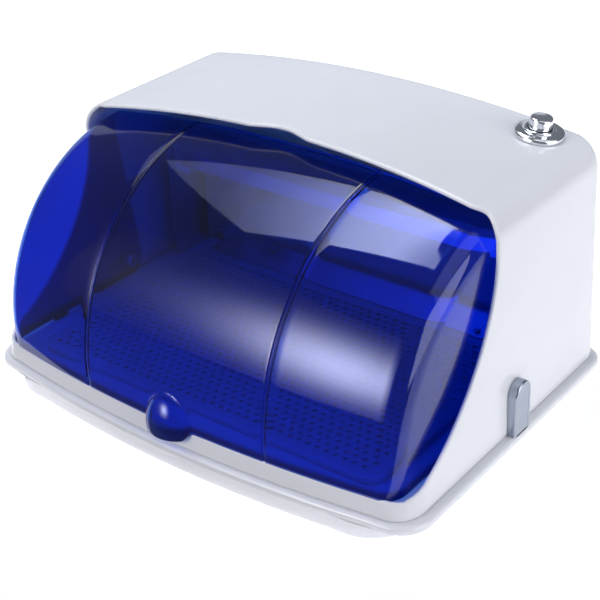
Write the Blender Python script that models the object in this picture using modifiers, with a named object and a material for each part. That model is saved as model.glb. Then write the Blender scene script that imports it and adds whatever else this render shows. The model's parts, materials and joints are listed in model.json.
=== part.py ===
"""UV sterilizer cabinet: white hood on a base tray, blue barrel lid, perforated tray and lamp.

Frame: +X right, +Y back, +Z up, metres.  The origin is the middle of the footprint at bench level.
"""
import bpy
import bmesh
import math
from mathutils import Matrix, Vector

# ---- driving dimensions -------------------------------------------------------------------
GAP = 0.0003                 # clearance left between touching pieces

HOOD_HALF = 0.177            # half width of the hood at its bottom edge
HOOD_FOOT = 0.0205           # height of the hood's bottom edge
HOOD_TOP = 0.194             # height of the hood at its middle
HOOD_BACK = 0.1311           # back face of the hood at its bottom edge
HOOD_FRONT = -0.125          # front of the sill at the middle
HOOD_WALL = 0.0026
HOOD_CORNER = 0.022          # radius between the sides and the top
CORNER_HEIGHT = 0.160        # where the side walls turn over into the top
HOOD_BACK_ROUND = 0.015      # radius of the upright back corners
HOOD_RIDGE_ROUND = 0.0075    # radius of the edge between the top and the back
DRAFT = 0.03                 # lean of the side walls, metres per metre
BACK_DRAFT = 0.012           # lean of the back wall
SILL_LEAN = 0.2              # lean of the front sill
SILL_TOP = 0.032
CROWN = 0.489                # drop of the arched top: CROWN * x * x
BOW = 0.5                    # plan curve of the front: BOW * x * x
BOW_END_ANGLE = -78          # where the front corners' arcs take over from the bow
CROWN_END_ANGLE = 81.5       # where the top corners' arcs meet the crown
WALL_END_ANGLE = 1.7         # where the top corners' arcs leave the leaning sides
FRONT_CORNER = 0.020
SIDE_CLEAR = 0.0004          # keeps two construction faces from lying in one plane
NOTCH_HALF = 0.026           # half width of the notch in the middle of the hood's rim
NOTCH_DEPTH = 0.0065
RIM_BOW = 0.35               # the rim's corners stand forward of its middle: RIM_BOW * x * x
RIM_DIP = 0.0035             # how far the rim is set back on the rounded top corners
RIM_DIP_X = 0.163
RIM_DIP_HALF = 0.012
RIM_FOOT = (0.0046, 0.156)   # (y, z) where the upright rim turns into the side edge
SILL_END = -0.0985           # y where the side edge reaches the sill

PIVOT_Y = 0.016              # lid axis, parallel to X
PIVOT_Z = 0.044
LID_RADIUS = 0.139           # outside, at the middle
LID_HALF = 0.1665
LID_FLAT = 0.151             # where the barrel starts to turn into the side panels
LID_WALL = 0.0025
LID_EDGE = 0.0326            # height of the closed lid's bottom edge
LID_TOP_ANGLE = 87.0         # degrees above the horizontal, seen from the pivot
SCOOP_Y = -0.1215            # middle of the finger scoop's egg
SCOOP_Z = 0.0300
SCOOP_HALF = (0.0190, 0.0135, 0.0275)
SCOOP_WALL = 0.0025
SCOOP_UNDER = 0.0290         # height of the scoop's open underside

FLANGE_HALF = 0.1828
FLANGE_FRONT = -0.1285
FLANGE_BACK = 0.1350
FLANGE_TOP = 0.0202
FLANGE_UNDER = 0.0145
TUB_UNDER = 0.0020
TUB_WALL = 0.0025
TUB_HALF = 0.1715
TUB_FRONT = -0.1279
TUB_BACK = 0.1290
TUB_ROUND = 0.003            # radius of the tub's bottom edge
TUB_LEAN = 0.018             # how much narrower the tub is at its bottom
FLOOR_UNDER = 0.0275
FLOOR_SHEET = 0.0012
FLOOR_TOP = FLOOR_UNDER + FLOOR_SHEET

TRAY_TOP = 0.0336
LAMP_Y = 0.078
LAMP_Z = 0.114
LAMP_RADIUS = 0.0078
LAMP_HALF = 0.144            # half the lamp's body, caps included
PANEL_Y = 0.102              # front face of the reflector's upright
CHEEK_X = 0.1585             # inner face of each lamp bracket

SWITCH_X = 0.1359
SWITCH_Y = 0.1045
GLAND_X = -0.120
GLAND_Z = 0.040
PLATE_Y = 0.0135             # middle of the chrome hinge plates
PLATE_HALF = 0.0093
PLATE_TOP = 0.0590
PLATE_FACE = 0.1830          # outer face of the right hinge plate
PIN_RADIUS = 0.003

# plan outlines as (half width, front, back, front radius, back radius)
FLANGE_PLAN = (FLANGE_HALF, FLANGE_FRONT, FLANGE_BACK, 0.022, 0.018)
TUB_PLAN = (TUB_HALF, TUB_FRONT, TUB_BACK, 0.038, 0.016)
UPSTAND_PLAN = (0.1715, -0.1210, 0.1268, 0.017, 0.014)
CAVITY_PLAN = (0.1650, -0.1165, 0.1222, 0.028, 0.011)
FLOOR_PLAN = (0.1700, -0.1195, 0.1030, 0.016, 0.004)

FOOT_X = 0.142
FOOT_FRONT_Y = -0.088
FOOT_REAR_Y = 0.098
FOOT_RADIUS = 0.0090
FOOT_TIP = 0.0075
CASE_SCREW_X = 0.090
CASE_SCREW_Z = 0.0238
CASE_SCREW_HOLE = 0.0019
POST_X = 0.085               # posts that carry the ballast's clips
POST_Y = 0.067
POST_TOP = 0.0065
CLIP_UNDER = 0.0068
CLIP_SHEET = 0.0010
SWITCH_HOLE = 0.0084
SWITCH_BODY = 0.0080         # radius of the switch's body
SWITCH_DEPTH = 0.0240        # how far the body hangs below the top
GLAND_HOLE = 0.0063
GLAND_BORE = 0.0036
PIN_SEAT = 0.1800            # how deep the pins' seats reach into the hinge plates
PIN_HOLE = 0.0034            # radius of the pins' holes in the hood's sides
BUSH_HOLE = 0.0052
BUSH_RADIUS = 0.0049
PLATE_EDGE = 0.0012
TRAY_FRONT = -0.098
TRAY_BACK = 0.079
TRAY_HALF = 0.146
TRAY_CORNER = 0.012
TRAY_SHEET = 0.0010
MIRROR_SHEET = 0.0010
MIRROR_HALF = 0.1440
MIRROR_FOOT = 0.0850         # front edge of the reflector's foot
MIRROR_SCREW = (0.100, 0.0925)
BRACKET_SHEET = 0.0012
BRACKET_FRONT = 0.062
BRACKET_BACK = 0.101
LAMP_CAP = 0.0070            # length of a lamp cap
LAMP_CAP_RADIUS = 0.0080
LAMP_PIN = 0.0012
LAMP_PIN_SHIFT = 0.0025
SLOT_X = 0.148               # middle of the holders' pin slots
BALLAST_LOW = (-0.074, 0.050, 0.0060)
BALLAST_HIGH = (0.074, 0.084, 0.0240)
BLOCK_LOW = (-0.136, 0.060, 0.0050)
BLOCK_HIGH = (-0.106, 0.078, 0.0170)
BLOCK_X = -0.121             # middle of the terminal block
BLOCK_PITCH = 0.009
WIRE_RADIUS = 0.0011
LAMP_WIRE_RADIUS = 0.0013
MOUTH_REACH = 0.200          # how far the mouth's cutter runs past the hood
MOUTH_TOP = 0.230
FORM_BACK = 0.200            # back of the block that shapes the hood's front
FAR = 0.25                   # reach of the blocks used only for cutting

PARTS = "uv_sterilizer_cabinet"
CUTTERS = "cutters"


# ---- scene and mesh helpers -----------------------------------------------------------------
def clear_scene():
    for item in list(bpy.data.objects):
        bpy.data.objects.remove(item, do_unlink=True)
    for name in (PARTS, CUTTERS):
        group = bpy.data.collections.new(name)
        bpy.context.scene.collection.children.link(group)


def material(name, colour, roughness, metallic=0.0, alpha=1.0):
    made = bpy.data.materials.new(name)
    made.use_nodes = True
    shader = made.node_tree.nodes["Principled BSDF"]
    shader.inputs["Base Color"].default_value = (*colour, 1.0)
    shader.inputs["Roughness"].default_value = roughness
    shader.inputs["Metallic"].default_value = metallic
    shader.inputs["Alpha"].default_value = alpha
    made.diffuse_color = (*colour, alpha)
    return made


def finish(name, mesh, finish_material, group=PARTS, smooth=True):
    """Link a mesh as a named object; cutters are hidden from the render."""
    item = bpy.data.objects.new(name, mesh)
    bpy.data.collections[group].objects.link(item)
    if group == CUTTERS:
        item.hide_render = True
        item.display_type = "WIRE"
        return item
    mesh.materials.append(finish_material)
    if smooth:
        mesh.shade_smooth()
        mesh.set_sharp_from_angle(angle=math.radians(32))
    return item


def to_mesh(name, form, finish_material=None, group=PARTS, smooth=True):
    mesh = bpy.data.meshes.new(name)
    bmesh.ops.recalc_face_normals(form, faces=form.faces)
    form.to_mesh(mesh)
    form.free()
    return finish(name, mesh, finish_material, group, smooth)


def arc(centre_x, centre_y, radius, start, stop, steps):
    """Points on an arc, in degrees, both ends included."""
    points = []
    for step in range(steps + 1):
        angle = math.radians(start + (stop - start) * step / steps)
        points.append((centre_x + radius * math.cos(angle), centre_y + radius * math.sin(angle)))
    return points


def mirrored(right_half):
    """Close an outline whose right half runs from the front middle round to the back middle."""
    left_half = [(-x, y) for x, y in reversed(right_half) if abs(x) > 1e-6]
    return right_half + left_half


PLANES = {
    "XY": lambda u, v, w: (u, v, w),
    "XZ": lambda u, v, w: (u, w, v),
    "YZ": lambda u, v, w: (w, u, v),
}


def prism_form(outline, plane, low, high):
    """Extrude a flat outline along the axis that its plane leaves free."""
    place = PLANES[plane]
    form = bmesh.new()
    corners = [form.verts.new(place(u, v, low)) for u, v in outline]
    face = form.faces.new(corners)
    grown = bmesh.ops.extrude_face_region(form, geom=[face])
    moved = [item for item in grown["geom"] if isinstance(item, bmesh.types.BMVert)]
    step = Vector(place(0.0, 0.0, high - low))
    bmesh.ops.translate(form, verts=moved, vec=step)
    bmesh.ops.recalc_face_normals(form, faces=form.faces)
    return form


def prism(name, outline, plane, low, high, finish_material=None, group=PARTS):
    return to_mesh(name, prism_form(outline, plane, low, high), finish_material, group)


def box(name, low, high, finish_material=None, group=PARTS, bevel=0.0):
    form = bmesh.new()
    bmesh.ops.create_cube(form, size=1.0)
    size = [high[axis] - low[axis] for axis in range(3)]
    middle = [(high[axis] + low[axis]) / 2 for axis in range(3)]
    bmesh.ops.scale(form, vec=size, verts=form.verts)
    bmesh.ops.translate(form, vec=middle, verts=form.verts)
    if bevel > 0:
        bmesh.ops.bevel(form, geom=form.edges[:], offset=bevel, segments=1, affect="EDGES")
    return to_mesh(name, form, finish_material, group)


def cylinder(name, start, stop, radius, finish_material=None, group=PARTS, sides=24, tip=None):
    """A cylinder, or a cone when tip gives the second radius, between two points."""
    start, stop = Vector(start), Vector(stop)
    along = stop - start
    form = bmesh.new()
    bmesh.ops.create_cone(form, cap_ends=True, segments=sides, radius1=radius,
                          radius2=radius if tip is None else tip, depth=along.length)
    turn = along.to_track_quat("Z", "Y").to_matrix().to_4x4()
    bmesh.ops.transform(form, matrix=Matrix.Translation((start + stop) / 2) @ turn, verts=form.verts)
    return to_mesh(name, form, finish_material, group)


def turned(name, profile, place, finish_material=None, group=PARTS, steps=28):
    """Turn a closed profile of (radius, height), outer side running down, about local Z."""
    mesh = bpy.data.meshes.new(name)
    count = len(profile)
    edges = [(index, (index + 1) % count) for index in range(count)]
    mesh.from_pydata([(radius, 0.0, height) for radius, height in profile], edges, [])
    item = finish(name, mesh, finish_material, group, smooth=False)
    item.matrix_world = place
    screw = item.modifiers.new("turn", "SCREW")
    screw.steps = steps
    screw.render_steps = steps
    screw.use_merge_vertices = True
    screw.merge_threshold = 0.00001
    return item


def along_x(x, y, z, sign=1.0):
    """A frame whose local Z points along +X, or -X when sign is -1."""
    return Matrix.Translation((x, y, z)) @ Matrix.Rotation(math.radians(90 * sign), 4, "Y")


def boolean(target, cutter, operation="DIFFERENCE"):
    step = target.modifiers.new(operation.lower(), "BOOLEAN")
    step.operation = operation
    step.solver = "EXACT"
    step.object = cutter


def bore(target, name, start, stop, radius, sides=24):
    """Cut a round hole."""
    boolean(target, cylinder(name, start, stop, radius, None, CUTTERS, sides))


def wire(name, route, radius, finish_material):
    """A wire on a smooth curve through the route's points, with filled ends."""
    points = smooth_route([Vector(point) for point in route], radius * 7)
    curve = bpy.data.curves.new(name, "CURVE")
    curve.dimensions = "3D"
    curve.bevel_depth = radius
    curve.bevel_resolution = 2
    curve.use_fill_caps = True
    spline = curve.splines.new("POLY")
    spline.points.add(len(points) - 1)
    for slot, point in zip(spline.points, points):
        slot.co = (*point, 1.0)
    curve.materials.append(finish_material)
    item = bpy.data.objects.new(name, curve)
    bpy.data.collections[PARTS].objects.link(item)
    return item


def smooth_route(route, spacing):
    """Catmull-Rom points through a route, about one spacing apart."""
    ends = [2 * route[0] - route[1]] + route + [2 * route[-1] - route[-2]]
    points = []
    for index in range(1, len(ends) - 2):
        before, start, stop, after = ends[index - 1:index + 3]
        steps = max(1, round((stop - start).length / spacing))
        for step in range(steps):
            t = step / steps
            points.append(0.5 * (2 * start + (stop - before) * t
                                 + (2 * before - 5 * start + 4 * stop - after) * t * t
                                 + (3 * start - before - 3 * stop + after) * t * t * t))
    return points + [route[-1]]


# ---- shared shapes ----------------------------------------------------------------------------
def plan_outline(half, front, back, front_round, back_round, steps=6):
    """Bowed-front plan outline, from the front middle round to the right."""
    bow_end = half - front_round
    across = [bow_end * step / steps for step in range(steps + 1)]
    bow = [(x, front + BOW * x * x) for x in across]
    corner_y = bow[-1][1] + front_round
    front_arc = arc(half - front_round, corner_y, front_round, BOW_END_ANGLE, 0, steps)
    back_arc = arc(half - back_round, back - back_round, back_round, 0, 90, steps)
    return mirrored(bow + front_arc + back_arc)


def wall_at(height):
    """Half width of the hood's outer wall at a height."""
    return HOOD_HALF - DRAFT * (height - HOOD_FOOT)


def hood_block(name, inset, foot):
    """The hood's outer form, drawn in by inset on every side and closed at the foot."""
    radius = HOOD_CORNER - inset
    centre_x = wall_at(CORNER_HEIGHT) - HOOD_CORNER
    end_angle = math.radians(CROWN_END_ANGLE)
    end_x = centre_x + radius * math.cos(end_angle)
    centre_z = HOOD_TOP - inset - CROWN * end_x ** 2 - radius * math.sin(end_angle)
    corner = arc(centre_x, centre_z, radius, WALL_END_ANGLE, CROWN_END_ANGLE, 6)
    crown = [(end_x * (1 - step / 7), HOOD_TOP - inset - CROWN * (end_x * (1 - step / 7)) ** 2)
             for step in range(1, 8)]
    right = [(0.0, foot), (wall_at(foot) - inset, foot)] + corner + crown
    back = HOOD_BACK - inset
    form = prism_form(mirrored(right), "XZ", -FAR, back)
    weight = form.edges.layers.float.new("bevel_weight_edge")
    slim = (HOOD_RIDGE_ROUND - inset) / (HOOD_BACK_ROUND - inset)
    for edge in form.edges:
        on_back = all(vert.co.y > back - 1e-5 for vert in edge.verts)
        at_foot = all(vert.co.z < foot + 1e-5 for vert in edge.verts)
        if on_back and not at_foot:
            along = edge.verts[1].co - edge.verts[0].co
            edge[weight] = slim + (1 - slim) * abs(along.z) / along.length
    for vert in form.verts:
        if vert.co.y > 0:
            vert.co.y -= BACK_DRAFT * (vert.co.z - HOOD_FOOT)
    block = to_mesh(name, form, None, CUTTERS)
    rounding = block.modifiers.new("back_edges", "BEVEL")
    rounding.limit_method = "WEIGHT"
    rounding.width = HOOD_BACK_ROUND - inset
    rounding.segments = 4
    rounding.use_clamp_overlap = False
    boolean(block, front_form(name + "_front", inset, foot), "INTERSECT")
    return block


def front_form(name, inset, foot):
    """A tall block whose front follows the bowed, leaning sill; its sides clear the hood's."""
    half = HOOD_HALF - inset
    outline = plan_outline(half, HOOD_FRONT + inset, FORM_BACK, FRONT_CORNER - inset * 0.5, 0.01)
    form = prism_form(outline, "XY", foot - 0.001, FAR)
    for vert in form.verts:
        height = vert.co.z - HOOD_FOOT
        share = (FORM_BACK - vert.co.y) / (FORM_BACK - HOOD_FRONT)
        vert.co.y += SILL_LEAN * height * share
        if abs(vert.co.x) > half - FRONT_CORNER and height > 0:
            vert.co.x += math.copysign(SIDE_CLEAR, vert.co.x)
    return to_mesh(name, form, None, CUTTERS)


def rim_shift(x):
    """How far the hood's front rim sits behind its line at the middle."""
    notch = 0.0
    if abs(x) < NOTCH_HALF:
        notch = NOTCH_DEPTH * (0.5 + 0.5 * math.cos(math.pi * x / NOTCH_HALF)) ** 0.7
    corner = max(0.0, 1 - abs(abs(x) - RIM_DIP_X) / RIM_DIP_HALF)
    return notch - RIM_BOW * x * x + RIM_DIP * corner * corner * (3 - 2 * corner)


def opening_outline():
    """The hood's mouth seen from the side: top rim, concave side edge, sill."""
    start, stop = Vector(RIM_FOOT), Vector((SILL_END, SILL_TOP))
    pull_a, pull_b = Vector((0.0040, 0.100)), Vector((-0.052, 0.041))
    points = [(0.0033, MOUTH_TOP), (0.0033, 0.185), (0.0042, 0.170)]
    for step in range(13):
        t = step / 12
        point = (start * (1 - t) ** 3 + pull_a * 3 * t * (1 - t) ** 2
                 + pull_b * 3 * t * t * (1 - t) + stop * t ** 3)
        points.append((point.x, point.y))
    return points + [(-MOUTH_REACH, SILL_TOP), (-MOUTH_REACH, MOUTH_TOP)]


def opening_cutter():
    """The mouth's outline carried across the hood, following the curve of the rim."""
    stations = [-MOUTH_REACH, -0.175, -0.169, -0.163, -0.157, -0.151, -0.130, -0.090, -0.050,
                -0.026, -0.0195, -0.013, -0.0065]
    stations = stations + [0.0] + [-x for x in reversed(stations)]
    outline = opening_outline()
    form = bmesh.new()
    rings = []
    for x in stations:
        rings.append([form.verts.new((x, y + (rim_shift(x) if y > -MOUTH_REACH else 0.0), z))
                      for y, z in outline])
    for near, far in zip(rings, rings[1:]):
        for index in range(len(outline)):
            after = (index + 1) % len(outline)
            form.faces.new((near[index], near[after], far[after], far[index]))
    form.faces.new(rings[0])
    form.faces.new(rings[-1])
    return to_mesh("mouth", form, None, CUTTERS)


def switch_frame():
    """The switch's axis stands square on the sloping top."""
    slope = math.atan(2 * CROWN * SWITCH_X)
    top = HOOD_TOP - CROWN * SWITCH_X ** 2
    return Matrix.Translation((SWITCH_X, SWITCH_Y, top)) @ Matrix.Rotation(slope, 4, "Y")


# ---- hood and base ------------------------------------------------------------------------------
def make_hood(white):
    hood = box("housing", (-FAR, -FAR, HOOD_FOOT), (FAR, FAR, FAR), white)
    boolean(hood, hood_block("hood_outside", 0.0, HOOD_FOOT - 0.010), "INTERSECT")
    boolean(hood, hood_block("hood_inside", HOOD_WALL, HOOD_FOOT - 0.020))
    boolean(hood, opening_cutter())
    axis = switch_frame()
    bore(hood, "switch_hole", axis @ Vector((0, 0, -0.02)), axis @ Vector((0, 0, 0.02)), SWITCH_HOLE)
    bore(hood, "gland_hole", (GLAND_X, 0.110, GLAND_Z), (GLAND_X, 0.150, GLAND_Z), GLAND_HOLE)
    bore(hood, "pin_holes", (-FAR, PIVOT_Y, PIVOT_Z), (FAR, PIVOT_Y, PIVOT_Z), PIN_HOLE)
    for x in (-CASE_SCREW_X, CASE_SCREW_X):
        bore(hood, "case_screw_hole", (x, 0.115, CASE_SCREW_Z), (x, 0.150, CASE_SCREW_Z),
             CASE_SCREW_HOLE, 12)
    return hood


def make_base(white):
    base = prism("base_tray", plan_outline(*FLANGE_PLAN), "XY", FLANGE_UNDER, FLANGE_TOP, white)
    boolean(base, tub_form(), "UNION")
    boolean(base, prism("upstand", plan_outline(*UPSTAND_PLAN), "XY", FLANGE_UNDER + 0.001,
                        FLOOR_UNDER - GAP, None, CUTTERS), "UNION")
    boolean(base, prism("cavity", plan_outline(*CAVITY_PLAN), "XY", TUB_UNDER + TUB_WALL,
                        FAR, None, CUTTERS))
    for side in (-1, 1):
        x = side * POST_X
        boolean(base, box("ballast_post", (x - 0.009, POST_Y - 0.012, TUB_UNDER + 0.001),
                          (x + 0.009, POST_Y + 0.012, POST_TOP), None, CUTTERS), "UNION")
        bore(base, "ballast_screw_hole", (x, POST_Y, TUB_UNDER + 0.0013), (x, POST_Y, 0.010),
             0.0013, 12)
        x = side * CASE_SCREW_X
        bore(base, "case_screw_seat", (x, 0.100, CASE_SCREW_Z), (x, 0.130, CASE_SCREW_Z),
             CASE_SCREW_HOLE, 12)
    return base


def tub_form():
    """The tub under the flange, rounded at the bottom and leaning in a little."""
    tub = prism_form(plan_outline(*TUB_PLAN), "XY", TUB_UNDER, FLANGE_TOP - 0.002)
    under = [edge for edge in tub.edges if all(vert.co.z < TUB_UNDER + 1e-5 for vert in edge.verts)]
    bmesh.ops.bevel(tub, geom=under, offset=TUB_ROUND, segments=2, profile=0.5, affect="EDGES")
    for vert in tub.verts:
        lean = TUB_LEAN * (FLANGE_TOP - vert.co.z) / (FLANGE_TOP - TUB_UNDER)
        vert.co.x *= 1 - lean
        vert.co.y *= 1 - lean / 2
    return to_mesh("tub", tub, None, CUTTERS)


def make_feet(rubber):
    top = TUB_UNDER - GAP
    profile = [(0.0, top), (FOOT_RADIUS, top), (FOOT_TIP, 0.0), (0.0, 0.0)]
    for end, y in (("front", FOOT_FRONT_Y), ("rear", FOOT_REAR_Y)):
        for side, x in (("left", -FOOT_X), ("right", FOOT_X)):
            turned("foot_%s_%s" % (end, side), profile, Matrix.Translation((x, y, 0.0)), rubber,
                   steps=20)


def make_case_screws(steel):
    profile = [(0.0, 0.0025), (0.0022, 0.0022), (0.0034, 0.0), (0.0015, 0.0), (0.0015, -0.0085),
               (0.0, -0.0085)]
    lie_down = Matrix.Rotation(math.radians(-90), 4, "X")
    for side, x in (("left", -CASE_SCREW_X), ("right", CASE_SCREW_X)):
        place = Matrix.Translation((x, HOOD_BACK + 0.0001, CASE_SCREW_Z)) @ lie_down
        turned("case_screw_" + side, profile, place, steel, steps=16)


def make_gland(rubber):
    """Grommet in the back wall with an open bore for the mains lead."""
    wall = HOOD_WALL + 0.0008
    profile = [(GLAND_BORE, 0.0040), (0.0062, 0.0040), (0.0085, 0.0012), (0.0085, GAP), (0.0060, GAP),
               (0.0060, -wall), (0.0080, -wall), (0.0076, -wall - 0.0022), (GLAND_BORE, -wall - 0.0022)]
    lean = math.atan(BACK_DRAFT)
    place = Matrix.Translation((GLAND_X, HOOD_BACK - BACK_DRAFT * (GLAND_Z - HOOD_FOOT), GLAND_Z))
    place = place @ Matrix.Rotation(math.radians(-90) + lean, 4, "X")
    turned("cord_gland", profile, place, rubber, steps=24)


# ---- hinge ---------------------------------------------------------------------------------------
def plate_outline():
    straight = PLATE_TOP - PLATE_HALF
    top = arc(PLATE_Y, straight, PLATE_HALF, 0, 180, 12)
    return [(PLATE_Y + PLATE_HALF, FLANGE_TOP + GAP)] + top + [(PLATE_Y - PLATE_HALF,
                                                                FLANGE_TOP + GAP)]


def make_hinges(chrome, steel, nylon):
    for side, sign in (("left", -1), ("right", 1)):
        form = prism_form(plate_outline(), "YZ", HOOD_HALF + GAP, PLATE_FACE)
        face = [edge for edge in form.edges
                if all(vert.co.x > PLATE_FACE - 1e-5 for vert in edge.verts)
                and max(vert.co.z for vert in edge.verts) > FLANGE_TOP + 0.001]
        bmesh.ops.bevel(form, geom=face, offset=PLATE_EDGE, segments=2, profile=0.5,
                        affect="EDGES")
        for vert in form.verts:
            if vert.co.x < HOOD_HALF + 0.001:
                vert.co.x = wall_at(vert.co.z) + GAP
            vert.co.x *= sign
        plate = to_mesh("hinge_plate_" + side, form, chrome)
        bore(plate, "pin_seat_" + side, (sign * 0.170, PIVOT_Y, PIVOT_Z),
             (sign * PIN_SEAT, PIVOT_Y, PIVOT_Z), PIN_RADIUS + GAP)
        pin = [(0.0, 0.0160), (PIN_RADIUS, 0.0160), (PIN_RADIUS, 0.0), (0.0055, 0.0), (0.0055, -0.0016),
               (0.0040, -0.0026), (0.0, -0.0026)]
        turned("hinge_pin_" + side, pin, along_x(sign * 0.1634, PIVOT_Y, PIVOT_Z, sign), steel)
        bush = [(PIN_RADIUS + GAP, 0.0042), (0.0072, 0.0042), (0.0072, 0.0029),
                (BUSH_RADIUS, 0.0029), (BUSH_RADIUS, 0.0), (PIN_RADIUS + GAP, 0.0)]
        turned("hinge_bush_" + side, bush, along_x(sign * 0.1639, PIVOT_Y, PIVOT_Z, sign), nylon)


# ---- lid -----------------------------------------------------------------------------------------
def barrel_profile(inset):
    """(x, radius) points of the right half of the lid, from the middle to the pivot axis."""
    points = [(LID_FLAT * step / 6, LID_RADIUS - inset - CROWN * (LID_FLAT * step / 6) ** 2)
              for step in range(7)]
    corner = LID_HALF - LID_FLAT
    centre = points[-1][1] + inset - corner
    turn = arc(LID_FLAT, centre, corner - inset, 80, 0, 5)
    return points[:-1] + turn


def lid_section():
    """Seen from the side: front stretch, ear round the pin, and the rear edge up to the top."""
    ear = PIVOT_Z - LID_EDGE
    reach = LID_RADIUS + 0.031
    top = math.radians(LID_TOP_ANGLE)
    head = (PIVOT_Y - reach * math.cos(top), PIVOT_Z + reach * math.sin(top))
    points = [(PIVOT_Y - reach, LID_EDGE)] + arc(PIVOT_Y, PIVOT_Z, ear, -90, 3, 8)
    return points + [head, (PIVOT_Y - reach, head[1])]


def make_lid(blue, rubber):
    outer = barrel_profile(0.0)
    inner = barrel_profile(LID_WALL)
    right = outer + [(LID_HALF, 0.0)]
    hollow = inner + [(LID_HALF - LID_WALL, 0.0)]
    turn = Matrix.Translation((0.0, PIVOT_Y, PIVOT_Z)) @ Matrix.Rotation(math.radians(90), 4, "Y")
    solid = barrel_solid("barrel_outside", right, turn)
    space = barrel_solid("barrel_inside", hollow, turn)
    lid = prism("lid", lid_section(), "YZ", -FAR, FAR, blue)
    boolean(lid, solid, "INTERSECT")
    boolean(lid, space)
    boolean(lid, make_scoop(turn), "UNION")
    bore(lid, "bush_holes", (-FAR, PIVOT_Y, PIVOT_Z), (FAR, PIVOT_Y, PIVOT_Z), BUSH_HOLE)
    for side, sign in (("left", -1), ("right", 1)):
        x = sign * (LID_HALF - LID_WALL / 2)
        box("lid_bumper_" + side, (x - 0.0011, -0.066, FLOOR_TOP + GAP),
            (x + 0.0011, -0.054, LID_EDGE - GAP), rubber)
    return lid


def barrel_solid(name, half_profile, place):
    """A barrel turned about local Z, symmetric about its middle, with (x, radius) points."""
    left = [(-x, radius) for x, radius in reversed(half_profile) if x > 1e-6]
    profile = [(radius, x) for x, radius in left + half_profile]
    return turned(name, profile[::-1], place, None, CUTTERS, steps=72)


def make_scoop(turn):
    """Finger scoop: half a thin egg that swells out of the lid's lower edge."""
    outer = egg("scoop_outside", 0.0)
    boolean(outer, egg("scoop_inside", SCOOP_WALL))
    boolean(outer, box("scoop_floor", (-0.05, -0.20, -0.01), (0.05, 0.0, SCOOP_UNDER), None, CUTTERS))
    boolean(outer, box("scoop_sill_room", (-0.05, HOOD_FRONT - 0.0012, 0.010),
                       (0.05, 0.0, LID_EDGE + 0.0012), None, CUTTERS))
    reach = LID_RADIUS - 0.0018
    profile = [(reach, 0.06), (reach, -0.06), (0.0, -0.06), (0.0, 0.06)]
    boolean(outer, turned("scoop_back", profile, turn, None, CUTTERS, steps=72))
    return outer


def egg(name, inset):
    form = bmesh.new()
    bmesh.ops.create_uvsphere(form, u_segments=24, v_segments=12, radius=1.0)
    bmesh.ops.scale(form, vec=[half - inset for half in SCOOP_HALF], verts=form.verts)
    bmesh.ops.translate(form, vec=(0.0, SCOOP_Y, SCOOP_Z), verts=form.verts)
    return to_mesh(name, form, None, CUTTERS)


# ---- chamber -------------------------------------------------------------------------------------
def make_floor(grey):
    prism("floor_panel", plan_outline(*FLOOR_PLAN), "XY", FLOOR_UNDER, FLOOR_TOP, grey)


def make_tray(steel):
    """Lift-out tray: a plate with turned-down edges, standing on them."""
    tray = prism("perforated_tray", tray_outline(0.0), "XY", FLOOR_TOP + GAP, TRAY_TOP, steel)
    boolean(tray, prism("tray_inside", tray_outline(TRAY_SHEET), "XY", FLOOR_UNDER,
                        TRAY_TOP - TRAY_SHEET, None, CUTTERS))


def tray_outline(inset):
    front, back = TRAY_FRONT + inset, TRAY_BACK - inset
    half, radius = TRAY_HALF - inset, TRAY_CORNER - inset
    right = [(0.0, front)] + arc(half - radius, front + radius, radius, -90, 0, 4)
    right = right + arc(half - radius, back - radius, radius, 0, 90, 4) + [(0.0, back)]
    return mirrored(right)


def reflector_line(offset):
    """Section of the reflector: foot, upright, hood over the lamp, drip lip."""
    hood = arc(LAMP_Y, LAMP_Z, PANEL_Y - LAMP_Y + offset, 0, 150, 10)
    lip = (hood[-1][0] - 0.0035, hood[-1][1] - 0.0100)
    foot_z = FLOOR_TOP + GAP + MIRROR_SHEET - offset
    return [(MIRROR_FOOT, foot_z), (PANEL_Y + offset, foot_z)] + hood + [lip]


def make_reflector(mirror, steel):
    section = reflector_line(0.0) + reflector_line(MIRROR_SHEET)[::-1]
    prism("reflector", section, "YZ", -MIRROR_HALF, MIRROR_HALF, mirror)
    low = FLOOR_TOP + GAP
    cheek = [(BRACKET_FRONT, low), (BRACKET_BACK, low), (BRACKET_BACK, LAMP_Z - 0.002)]
    cheek = cheek + arc(LAMP_Y, LAMP_Z, 0.023, 0, 120, 6) + [(BRACKET_FRONT, LAMP_Z + 0.006)]
    screw = [(0.0, 0.0018), (0.0020, 0.0015), (0.0028, 0.0), (0.0, 0.0)]
    for side, sign in (("left", -1), ("right", 1)):
        prism("lamp_bracket_" + side, cheek, "YZ", sign * CHEEK_X, sign * (CHEEK_X + BRACKET_SHEET),
              steel)
        place = (sign * MIRROR_SCREW[0], MIRROR_SCREW[1], low + MIRROR_SHEET + GAP)
        turned("reflector_screw_" + side, screw, Matrix.Translation(place), steel, steps=14)


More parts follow.
